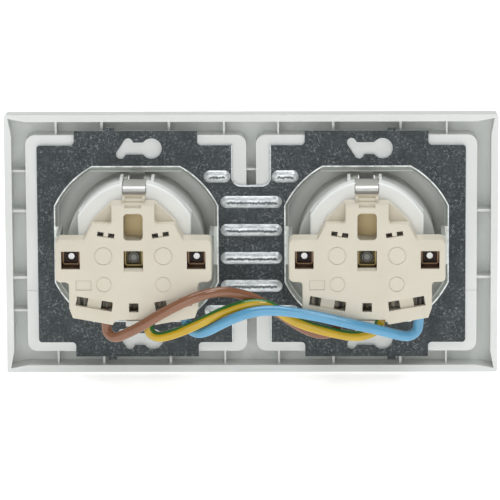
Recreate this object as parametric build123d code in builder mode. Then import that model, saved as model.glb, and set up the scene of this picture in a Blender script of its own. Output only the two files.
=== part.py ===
"""Two-gang earthed wall socket, ready wired, with its rear as the detailed side.

Frame: the wall plane is y = 0, the front faces -Y, the rear faces +Y and +Z is up.
The origin is the centre of the support plate on the wall plane. Left and right are as seen from the front.
"""

import os
from math import radians
from math import tan

from build123d import *

os.makedirs("parts", exist_ok=True)

# Layout
unit_pitch = 71.0
units = (("left", -unit_pitch / 2), ("right", unit_pitch / 2))

# Cover frame
frame_height = 81.0
frame_width = frame_height + unit_pitch
frame_depth = 10.4
frame_draft = 3.3
frame_rim = 2.2
frame_front_wall = 2.0
frame_corner = 0.8
frame_front_round = 1.4
corner_relief_run = 4.3
corner_relief_wall = 1.2
tray_size = 68.0
tray_wall = 1.2
tray_corner = 3.0
lip_thickness = 2.0
lip_clearance = 0.9
tray_step_height = 30.0
tray_step_depth = 0.25
rib_rear = -2.6
thick_rib = 0.8
thin_rib = 0.6
thick_rib_places = (25.25, 46.0)
thin_rib_places = (8.35, 60.15)
end_rib_heights = (10.0, -11.0)
end_thin_rib_heights = (22.5, -21.4)
middle_rib_height = 23.0

# Support plate
plate_thickness = 1.2
plate_width = 61.0
plate_height = 62.0
plate_corner = 1.0
tab_width = 38.0
tab_height = 71.0
tab_round = 1.2
nib_width = 2.5
nib_height = 1.0
nib_offset = 7.7
notch_width = 11.4
notch_round = 2.6
notch_edge_round = 0.5
bridge_height = 37.0
opening_outside = (27.7, 25.0, 24.2)
opening_inside = (26.6, 23.95, 22.4)
rim_wall = 0.2
rim_depth = 1.8
box_screw_spacing = 60.0
keyhole_head_radius = 3.15
keyhole_head_offset = 4.9
keyhole_neck = 3.7
keyhole_round = 0.5
lobe_width = 2.8
lobe_length = 4.3
lobe_offset = 3.45
lobe_tilt = 57.0
bead_length = 19.0
bead_width = 3.8
bead_height = 1.0
bead_wall = 1.1
bead_spacing = 8.8
short_bead_length = 8.2
short_bead_offset = 10.5
short_bead_height = 21.2
ear_height = 12.0
ear_drop = 0.45
ear_inside = 22.8
ear_reach = 8.4
ear_foot = 3.0
ear_bend = 1.6

# Centre plate with its plug well
panel_clearance = 0.25
panel_wall = 2.0
panel_front_wall = 2.2
panel_corner = 2.2
panel_round = 1.2
panel_proud = 3.0
well_radius = 19.75
well_depth = 17.5
well_mouth_round = 0.8
well_floor_thickness = 2.4
cup_half_width = 20.3
cup_half_height = 22.2
cup_ring_depth = 5.7
cup_neck_radius = 21.2
cup_flat = 17.3
cup_flat_depth = 8.4
cup_round = 0.7
guide_key_width = 5.0
guide_key_height = 1.7
guide_key_setback = 2.0
pin_spacing = 19.0
pin_hole_radius = 2.75
clip_slot_side = 0.2
clip_slot_play = 0.5
clip_slot_setback = 3.2
clip_slot_reach = 1.0
guide_fin = 0.9
guide_fin_height = 22.2
guide_fin_rear = 9.0
guide_fin_length = 8.0
guide_fin_inset = 5.0
bottom_wall = 0.8
bottom_groove_play = 0.3
bottom_key_half = 2.9
bottom_key_drop = 0.7
bottom_notch_half = 5.2
bottom_notch_depth = 5.0

# Contact carrier
carrier_width = 28.0
carrier_height = 18.0
carrier_drop = 4.0
carrier_depth = 7.5
carrier_corner = 1.5
carrier_clearance = 0.2
carrier_channel_radius = 3.0
barrier_inside = 4.9
barrier_wall = 0.8
barrier_rise = 2.4

# Earth clip
clip_width = 7.0
clip_thickness = 0.8
clip_arm_outside = 20.9
clip_bend = 1.6
clip_arm_straight = 12.0
clip_contact_reach = 2.1
clip_contact_run = 6.0
clip_tip_run = 4.6
clip_tip_return = 2.0
clip_tip_width = 4.6
clip_shoulder_setback = 12.5

# Terminal base
base_depth = 9.2
base_wall = 1.8
base_rear_wall = 2.0
base_round = 0.5
arm_half_width = 23.8
arm_top = 6.1
arm_bottom = -7.0
arm_thickness = 8.5
arm_corner = 1.6
inner_corner = 1.1
body_half_width = 15.1
lower_half_width = 19.7
lower_corner_start = -15.0
foot_outer = (18.6, -18.1)
foot_inner = (6.5, -20.3)
bottom_step = (5.4, -18.8)
shoulder = (12.6, 11.1)
neck_half_width = 6.6
neck_top = 16.8
neck_post = 0.9
neck_post_inside = 2.6
neck_post_top = 17.9
neck_post_depth = 5.2
neck_ledge_top = 17.3
neck_ledge_depth = 4.2
neck_line = (5.0, 0.9)
neck_line_depth = 1.5
web_depth = 5.0
window_wall = 1.2
window_seat_gap = 0.4
side_window = (5.7, 5.2)
side_window_offset = 19.1
centre_window = (5.9, 5.45)
top_window = (5.9, 8.25)
top_window_height = 10.1
top_window_corner = 1.2
lower_window = (2.9, 2.8)
lower_window_height = -14.9
sill_depth = 0.9
side_sill_height = 0.35
centre_sill_height = 0.9
terminal_window = (11.2, 2.95)
terminal_window_centre = (12.0, -13.7)
terminal_window_tilt = 10.0
terminal_window_step = 1.2
terminal_opening = 3.5
label_field = (10.0, 3.6)
label_drop = 3.7
label_depth = 0.2
date_field = (4.6, 2.9)
date_field_centre = (15.2, -7.95)
release_slot = (5.2, 1.45)
release_slot_centre = (8.3, 7.7)
release_slot_tilt = 8.5
release_opening = 1.9
release_line = 0.4
moulded_rings = ((9.1, 1.2, 2.8), (9.0, -7.6, 2.4))
ring_groove = 0.3
pin_relief_radius = 3.0
pin_relief_depth = 1.3
partition_inside = 5.8
partition_wall = 0.8
partition_height = 9.0
partition_gap = 1.5
wire_entry_play = 0.25

# Contacts, bridges and clamp springs
contact_thickness = 1.0
receptacle_wall = 0.8
receptacle_half = 2.45
receptacle_length = 6.4
receptacle_inside = 6.1
contact_outside = 13.2
contact_hole_radius = 2.7
platform_rear = 18.3
platform_inside = 6.9
platform_outside = 17.4
platform_top = -9.7
platform_bottom = -16.2
riser_top = -8.0
bridge_half_width = 3.0
bridge_top = 14.8
earth_platform_half = 5.5
spring_thickness = 0.4
spring_side_gap = 0.2
spring_rise = 3.1
spring_fold = -15.4
spring_tip = -11.2
spring_bend = 0.55
spring_gap = 1.2
spring_slit = 0.5

# Fasteners
centre_screw_radius = 1.75
centre_screw_head_radius = 3.4
centre_screw_end = 20.0
side_screw_radius = 1.25
side_screw_head_radius = 2.3
side_screw_end = 18.0
screw_play = 0.1
head_play = 0.05
head_angle = 90.0
drive_slot_width = 0.8
drive_slot_depth = 0.9
screw_chamfer = 0.3
nut_play = 0.15
nut_wall = 0.45
nut_cage = 1.6
nut_corner = 0.9
side_nut_thickness = 1.9
centre_nut_thickness = 2.9

# Link wires
wire_diameter = 3.15
conductor_diameter = 1.38
conductor_top = -10.4
wire_start = -18.4
earth_entry = 4.1
inner_entry = 8.7
outer_entry = 15.8
arc_share = 0.45

# Depths that follow from the sizes above
plate_front = -plate_thickness
lip_front = plate_front - lip_thickness
panel_front = -(frame_depth + panel_proud)
well_floor = panel_front + well_depth
floor_rear = well_floor + well_floor_thickness
cup_rear = floor_rear + carrier_depth
clip_rear = cup_rear + clip_thickness
base_rear = clip_rear + base_depth
base_inside = base_rear - base_rear_wall
arm_front = base_rear - arm_thickness
ear_front = arm_front - plate_thickness
bridge_rear = clip_rear + contact_thickness
contact_rear = cup_rear + contact_thickness
platform_front = platform_rear - contact_thickness
wire_depth = platform_rear + conductor_diameter / 2
pocket_size = tray_size - 2 * tray_wall
panel_size = pocket_size - 2 * panel_clearance
ear_outside = ear_inside + plate_thickness
clip_arm_inside = clip_arm_outside - clip_thickness
clip_slot_half = clip_width / 2 + clip_slot_side
clip_tip_slot_half = clip_tip_width / 2 + clip_slot_side
pin_offset = pin_spacing / 2
centre_screw_hole = centre_screw_radius + screw_play
side_screw_hole = side_screw_radius + screw_play
wire_entry_radius = wire_diameter / 2 + wire_entry_play


def depth_plane(depth, x=0.0):
    """Plane parallel to the wall at a depth, with its normal towards the front."""
    return Plane(origin=(x, depth, 0), x_dir=(1, 0, 0), z_dir=(0, -1, 0))


def side_plane(x):
    """Plane across the object: its own x runs to the rear and its own y runs up."""
    return Plane(origin=(x, 0, 0), x_dir=(0, 1, 0), z_dir=(1, 0, 0))


def insert_opening(outline, margin=0.0):
    """Round opening with four flats, given as radius, half width and half height, widened by a margin."""
    radius, half_width, half_height = outline
    Circle(radius + margin)
    Rectangle(2 * (half_width + margin), 2 * (half_height + margin), mode=Mode.INTERSECT)


def keyhole(turn):
    """Screw keyhole: a round head, a neck and a slanted lobe, turned up or down by its sign."""
    with Locations((-keyhole_head_offset, 0)):
        Circle(keyhole_head_radius)
    with Locations(((lobe_offset - keyhole_head_offset) / 2, 0)):
        Rectangle(lobe_offset + keyhole_head_offset, keyhole_neck)
    with Locations((lobe_offset, 0)):
        SlotCenterToCenter(lobe_length, lobe_width, rotation=-turn * lobe_tilt)


def bead(x, z, length):
    """Rounded bead: an arc section carried across the plate between two spherical ends."""
    run = length - bead_width
    rise = bead_width / 2
    with BuildSketch(side_plane(x - run / 2)) as section:
        with BuildLine():
            ThreePointArc((0, z - rise), (bead_height, z), (0, z + rise))
            Line((0, z + rise), (0, z - rise))
        make_face()
    extrude(section.sketch, amount=run)
    for end_x in (x - run / 2, x + run / 2):
        with BuildSketch(side_plane(end_x)) as half:
            with BuildLine() as arc:
                ThreePointArc((0, z - rise), (bead_height, z), (0, z + rise))
                Line((0, z + rise), (0, z - rise))
            make_face(arc.edges())
            with Locations((0, z - rise)):
                Rectangle(2 * bead_height, 2 * rise, mode=Mode.SUBTRACT)
        revolve(half.sketch, axis=Axis((end_x, 0, z), (0, 1, 0)))


def base_outline():
    """Rear outline of the terminal base without its arms, from the bottom step up to the neck."""
    with BuildLine() as half:
        Polyline(
            (0, bottom_step[1]),
            bottom_step,
            foot_inner,
            foot_outer,
            (lower_half_width, lower_corner_start),
            (lower_half_width, arm_bottom),
            (body_half_width, arm_bottom),
            (body_half_width, arm_top),
            shoulder,
            (neck_half_width, shoulder[1]),
            (neck_half_width, neck_top),
            (0, neck_top),
        )
        mirror(half.line, about=Plane.YZ)
    make_face(half.edges())


# Cover frame: drafted skirt, front wall with two pockets, lips behind them and stiffening ribs
with BuildPart() as cover_frame:
    with BuildSketch(depth_plane(0)):
        RectangleRounded(frame_width, frame_height, frame_corner)
    extrude(amount=frame_depth, taper=frame_draft)
    fillet(cover_frame.faces().sort_by(Axis.Y)[0].outer_wire().edges(), frame_front_round)
    hollow_half_width = frame_width / 2 - frame_rim
    hollow_half_height = frame_height / 2 - frame_rim
    with BuildSketch(depth_plane(0)):
        Rectangle(2 * hollow_half_width, 2 * hollow_half_height)
        for across in (-1, 1):
            for up in (-1, 1):
                with BuildLine():
                    Polyline(
                        (across * (hollow_half_width - corner_relief_run), up * hollow_half_height),
                        (
                            across * (frame_width / 2 - corner_relief_wall),
                            up * (frame_height / 2 - corner_relief_wall),
                        ),
                        (across * hollow_half_width, up * (hollow_half_height - corner_relief_run)),
                        (
                            across * (hollow_half_width - corner_relief_run),
                            up * (hollow_half_height - corner_relief_run),
                        ),
                        close=True,
                    )
                make_face()
    extrude(amount=frame_depth - frame_front_wall, mode=Mode.SUBTRACT)
    rib_depth = frame_depth - frame_front_wall + rib_rear
    rib_centre = rib_rear - rib_depth / 2
    edge_gap = hollow_half_height - tray_size / 2
    end_gap = hollow_half_width - unit_pitch / 2 - tray_size / 2
    end_rib_x = hollow_half_width - end_gap / 2
    for across in (-1, 1):
        for up in (-1, 1):
            for places, thickness in ((thick_rib_places, thick_rib), (thin_rib_places, thin_rib)):
                for place in places:
                    with Locations((across * place, rib_centre, up * (tray_size + edge_gap) / 2)):
                        Box(thickness, rib_depth, edge_gap + tray_wall)
        for height in end_rib_heights:
            with Locations((across * end_rib_x, rib_centre, height)):
                Box(end_gap + tray_wall, rib_depth, thick_rib)
    for height in end_thin_rib_heights:
        with Locations((end_rib_x, rib_centre, height)):
            Box(end_gap + tray_wall, rib_depth, thin_rib)
    with Locations((0, rib_centre, middle_rib_height)):
        Box(unit_pitch - tray_size + tray_wall, rib_depth, thin_rib)
    for side, unit_x in units:
        with BuildSketch(depth_plane(plate_front, unit_x)):
            RectangleRounded(tray_size, tray_size, tray_corner)
        extrude(amount=frame_depth - frame_front_wall / 2 - plate_thickness)
        with BuildSketch(depth_plane(lip_front, unit_x)):
            RectangleRounded(pocket_size, pocket_size, panel_corner)
        extrude(amount=frame_depth, mode=Mode.SUBTRACT)
        with BuildSketch(depth_plane(plate_front, unit_x)):
            insert_opening(opening_outside, rim_wall + lip_clearance)
        extrude(amount=lip_thickness, mode=Mode.SUBTRACT)
        step_width = (tray_size - plate_width) / 2
        for across in (-1, 1):
            step_x = unit_x + across * (plate_width + step_width) / 2
            with Locations((step_x, plate_front, 0)):
                Box(step_width, 2 * tray_step_depth, tray_step_height, mode=Mode.SUBTRACT)
cover_frame.part.label = "cover_frame"
export_step(cover_frame.part, "parts/cover_frame.step")

# Support plate: one stamping with dished openings, keyholes, beads and ears bent to the rear
with BuildPart() as support_plate:
    with BuildSketch(depth_plane(0)) as blank:
        for side, unit_x in units:
            outward = 1 if unit_x > 0 else -1
            with Locations((unit_x, 0)):
                RectangleRounded(plate_width, plate_height, plate_corner)
                Rectangle(tab_width, tab_height)
            with Locations((unit_x + outward * nib_offset, 0)):
                Rectangle(nib_width, tab_height + 2 * nib_height)
        Rectangle(unit_pitch, bridge_height)
        for up in (-1, 1):
            with Locations((0, up * (bridge_height + tab_height) / 2)):
                Rectangle(notch_width, tab_height, mode=Mode.SUBTRACT)
        inner_corners = [
            corner
            for corner in blank.vertices()
            if abs(abs(corner.Y) - plate_height / 2) < 0.01
            and abs(abs(abs(corner.X) - unit_pitch / 2) - tab_width / 2) < 0.01
        ]
        fillet(inner_corners, tab_round)
        notch_corners = [
            corner
            for corner in blank.vertices()
            if abs(abs(corner.Y) - bridge_height / 2) < 0.01
            and abs(abs(corner.X) - notch_width / 2) < 0.01
        ]
        fillet(notch_corners, notch_round)
    extrude(amount=plate_thickness)
    notch_edges = [
        edge
        for edge in support_plate.edges()
        if abs(edge.center().Y) < 0.01
        and abs(edge.center().X) < notch_width / 2 + 0.01
        and abs(edge.center().Z) > bridge_height / 2 - 0.01
    ]
    fillet(notch_edges, notch_edge_round)
    for step in (-1.5, -0.5, 0.5, 1.5):
        bead(0, step * bead_spacing, bead_length)
    for across in (-1, 1):
        for up in (-1, 1):
            bead(across * short_bead_offset, up * short_bead_height, short_bead_length)
    with BuildSketch(depth_plane(plate_front)):
        for step in (-1.5, -0.5, 0.5, 1.5):
            with Locations((0, step * bead_spacing)):
                SlotOverall(bead_length - 2 * bead_wall, bead_width - 2 * bead_wall)
        with GridLocations(2 * short_bead_offset, 2 * short_bead_height, 2, 2):
            SlotOverall(short_bead_length - 2 * bead_wall, bead_width - 2 * bead_wall)
    extrude(amount=-bead_height, mode=Mode.SUBTRACT)
    for side, unit_x in units:
        turn = 1 if unit_x > 0 else -1
        with BuildSketch(depth_plane(0, unit_x)) as keyholes:
            for up in (-1, 1):
                with Locations((0, up * box_screw_spacing / 2)):
                    keyhole(turn * up)
            neck_corners = [
                corner
                for corner in keyholes.vertices()
                if abs(abs(abs(corner.Y) - box_screw_spacing / 2) - keyhole_neck / 2) < 0.01
            ]
            fillet(neck_corners, keyhole_round)
        extrude(amount=plate_thickness, mode=Mode.SUBTRACT)
        with BuildSketch(depth_plane(plate_front, unit_x)):
            insert_opening(opening_outside, rim_wall)
        extrude(amount=rim_depth - plate_thickness)
        with BuildSketch(depth_plane(0, unit_x)):
            insert_opening(opening_outside)
        with BuildSketch(depth_plane(-rim_depth, unit_x)):
            insert_opening(opening_inside)
        loft(ruled=True, mode=Mode.SUBTRACT)
        for across in (-1, 1):
            with BuildSketch(Plane.XY.offset(-ear_drop)) as ear:
                with BuildLine():
                    Polyline(
                        (unit_x + across * (ear_outside + ear_foot), plate_front),
                        (unit_x + across * (ear_outside + ear_foot), 0),
                        (unit_x + across * ear_outside, 0),
                        (unit_x + across * ear_outside, arm_front),
                        (unit_x + across * (ear_outside - ear_reach), arm_front),
                        (unit_x + across * (ear_outside - ear_reach), ear_front),
                        (unit_x + across * ear_inside, ear_front),
                        (unit_x + across * ear_inside, plate_front),
                        close=True,
                    )
                make_face()
                outer_bend = ear.vertices().sort_by_distance(
                    (unit_x + across * ear_outside, arm_front, 0)
                )[0]
                fillet(outer_bend, ear_bend)
                inner_bend = ear.vertices().sort_by_distance(
                    (unit_x + across * ear_inside, ear_front, 0)
                )[0]
                fillet(inner_bend, ear_bend - plate_thickness)
            extrude(amount=ear_height / 2, both=True)
            seat = Plane(
                origin=(unit_x + across * side_window_offset, ear_front, 0), z_dir=(0, -1, 0)
            )
            with Locations(seat):
                CounterSinkHole(
                    side_screw_hole,
                    side_screw_head_radius + head_play,
                    2 * plate_thickness,
                    head_angle,
                )
support_plate.part.label = "support_plate"
export_step(support_plate.part, "parts/support_plate.step")

# Centre plates: square front panel, plug well with guide keys, and the cup behind it
for side, unit_x in units:
    with BuildPart() as centre_plate:
        with BuildSketch(depth_plane(cup_rear, unit_x)):
            Ellipse(cup_half_width, cup_half_height)
            Rectangle(2 * cup_flat, 2 * cup_half_height, mode=Mode.INTERSECT)
        extrude(amount=cup_ring_depth)
        fillet(centre_plate.faces().sort_by(Axis.Y)[-1].edges(), cup_round)
        with Locations((unit_x, cup_rear - cup_ring_depth / 2, -cup_half_height)):
            Box(2 * bottom_key_half, cup_ring_depth, 2 * bottom_key_drop)
        with BuildSketch(depth_plane(cup_rear - cup_ring_depth, unit_x)):
            Circle(cup_neck_radius)
            Rectangle(2 * cup_flat, 2 * cup_neck_radius, mode=Mode.INTERSECT)
        extrude(amount=cup_flat_depth - cup_ring_depth)
        with BuildSketch(depth_plane(cup_rear - cup_flat_depth, unit_x)):
            Circle(cup_neck_radius)
        extrude(amount=cup_rear - cup_flat_depth - panel_front - panel_front_wall)
        groove_bottom = clip_arm_outside + bottom_groove_play
        lobe_height = groove_bottom + bottom_wall - well_radius
        lobe_depth = cup_rear - cup_ring_depth - panel_front - panel_front_wall
        with Locations(
            (
                unit_x,
                panel_front + panel_front_wall + lobe_depth / 2,
                -well_radius - lobe_height / 2,
            )
        ):
            Box(2 * (clip_slot_half + bottom_wall), lobe_depth, lobe_height)
        with BuildSketch(depth_plane(lip_front, unit_x)):
            RectangleRounded(panel_size, panel_size, panel_corner)
            Rectangle(panel_size - 2 * panel_wall, panel_size - 2 * panel_wall, mode=Mode.SUBTRACT)
        extrude(amount=lip_front - panel_front - panel_front_wall)
        with BuildSketch(depth_plane(panel_front + panel_front_wall, unit_x)):
            RectangleRounded(panel_size, panel_size, panel_corner)
        extrude(amount=panel_front_wall)
        fillet(centre_plate.faces().sort_by(Axis.Y)[0].outer_wire().edges(), panel_round)
        with BuildSketch(depth_plane(well_floor, unit_x)):
            Circle(well_radius)
        extrude(amount=well_depth, mode=Mode.SUBTRACT)
        fillet(centre_plate.faces().sort_by(Axis.Y)[0].inner_wires().edges(), well_mouth_round)
        key_length = well_depth - guide_key_setback
        for across in (-1, 1):
            key_x = unit_x + across * (well_radius - guide_key_height / 2 + panel_clearance)
            with Locations((key_x, well_floor - key_length / 2, 0)):
                Box(guide_key_height + 2 * panel_clearance, key_length, guide_key_width)
        slot_front = panel_front + clip_slot_setback
        slot_shoulder = cup_rear - clip_shoulder_setback - clip_slot_side
        slot_inside = clip_arm_inside - clip_slot_play
        slot_height = cup_half_height - slot_inside
        groove_height = groove_bottom - slot_inside
        outward = 1 if unit_x > 0 else -1
        for across in (-1, 1):
            fin_inside = clip_slot_half if across == outward else guide_fin_inset
            fin_x = unit_x + across * (fin_inside + guide_fin / 2)
            fin_height = guide_fin_height - slot_inside
            with Locations(
                (fin_x, guide_fin_rear - guide_fin_length / 2, guide_fin_height - fin_height / 2)
            ):
                Box(guide_fin, guide_fin_length, fin_height)
        for half, front, rear in (
            (clip_slot_half, slot_shoulder, cup_rear),
            (clip_tip_slot_half, slot_front, slot_shoulder),
        ):
            with Locations((unit_x, (front + rear) / 2, slot_inside + slot_height / 2)):
                Box(2 * half, rear - front, slot_height, mode=Mode.SUBTRACT)
            with Locations((unit_x, (front + rear) / 2, -slot_inside - groove_height / 2)):
                Box(2 * half, rear - front, groove_height, mode=Mode.SUBTRACT)
        for up in (-1, 1):
            relief_z = up * (slot_inside - clip_slot_reach / 2)
            for half, front, rear in (
                (clip_slot_half, slot_shoulder, well_floor),
                (clip_tip_slot_half, slot_front, slot_shoulder),
                (clip_slot_half, cup_rear - clip_bend, cup_rear + clip_bend),
            ):
                with Locations((unit_x, (front + rear) / 2, relief_z)):
                    Box(2 * half, rear - front, clip_slot_reach, mode=Mode.SUBTRACT)
        notch_half = (bottom_notch_half - bottom_key_half) / 2
        for across in (-1, 1):
            notch_x = unit_x + across * (bottom_key_half + notch_half)
            with Locations((notch_x, cup_rear - bottom_notch_depth / 2, -slot_inside - slot_height / 2)):
                Box(2 * notch_half, bottom_notch_depth, slot_height, mode=Mode.SUBTRACT)
        with BuildSketch(depth_plane(cup_rear, unit_x)):
            with Locations((0, -carrier_drop)):
                RectangleRounded(carrier_width, carrier_height, carrier_corner)
        extrude(amount=carrier_depth, mode=Mode.SUBTRACT)
        with BuildSketch(depth_plane(floor_rear, unit_x)):
            with GridLocations(pin_spacing, 0, 2, 1):
                Circle(pin_hole_radius)
        extrude(amount=well_floor_thickness, mode=Mode.SUBTRACT)
        with Locations(Plane(origin=(unit_x, well_floor, 0), z_dir=(0, -1, 0))):
            CounterSinkHole(
                centre_screw_hole,
                centre_screw_head_radius + head_play,
                well_floor_thickness,
                head_angle,
            )
    centre_plate.part.label = f"{side}_centre_plate"
    export_step(centre_plate.part, f"parts/{side}_centre_plate.step")

# Contact carriers: blocks inside the cups with pin channels and barriers beside the earth bridge
for side, unit_x in units:
    with BuildPart() as contact_carrier:
        with BuildSketch(depth_plane(cup_rear, unit_x)):
            with Locations((0, -carrier_drop)):
                RectangleRounded(
                    carrier_width - 2 * carrier_clearance,
                    carrier_height - 2 * carrier_clearance,
                    carrier_corner - carrier_clearance,
                )
        extrude(amount=carrier_depth)
        barrier_height = carrier_height / 2 - carrier_clearance
        for across in (-1, 1):
            barrier_x = unit_x + across * (barrier_inside + barrier_wall / 2)
            with Locations((barrier_x, cup_rear + barrier_rise / 2, 0)):
                Box(barrier_wall, barrier_rise, barrier_height)
        with BuildSketch(depth_plane(cup_rear, unit_x)):
            with GridLocations(pin_spacing, 0, 2, 1):
                Circle(carrier_channel_radius)
            Circle(centre_screw_hole)
        extrude(amount=carrier_depth, mode=Mode.SUBTRACT)
    contact_carrier.part.label = f"{side}_contact_carrier"
    export_step(contact_carrier.part, f"parts/{side}_contact_carrier.step")

# Earth clips: one bent strip each, with two arms that bow into the plug well
for side, unit_x in units:
    arm_middle = clip_arm_outside - clip_thickness / 2
    strip_middle = cup_rear + clip_thickness / 2
    contact_depth = strip_middle - clip_arm_straight - clip_contact_run
    contact_height = arm_middle - clip_contact_reach
    with BuildPart() as earth_clip:
        with BuildSketch(side_plane(unit_x)):
            with BuildLine() as clip_line:
                FilletPolyline(
                    (strip_middle, 0),
                    (strip_middle, arm_middle),
                    (strip_middle - clip_arm_straight, arm_middle),
                    (contact_depth, contact_height),
                    (contact_depth - clip_tip_run, contact_height + clip_tip_return),
                    radius=clip_bend,
                )
                mirror(clip_line.line, about=Plane.XZ)
            trace(line_width=clip_thickness)
        extrude(amount=clip_width / 2, both=True)
        with BuildSketch(depth_plane(clip_rear, unit_x)):
            Circle(centre_screw_hole)
        extrude(amount=clip_thickness, mode=Mode.SUBTRACT)
        shoulder_depth = cup_rear - clip_shoulder_setback
        trim_length = shoulder_depth - panel_front
        trim_width = (clip_width - clip_tip_width) / 2
        for across in (-1, 1):
            trim_x = unit_x + across * (clip_width - trim_width) / 2
            with Locations((trim_x, shoulder_depth - trim_length / 2, 0)):
                Box(trim_width, trim_length, 2 * clip_arm_outside, mode=Mode.SUBTRACT)
    earth_clip.part.label = f"{side}_earth_clip"
    export_step(earth_clip.part, f"parts/{side}_earth_clip.step")

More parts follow.
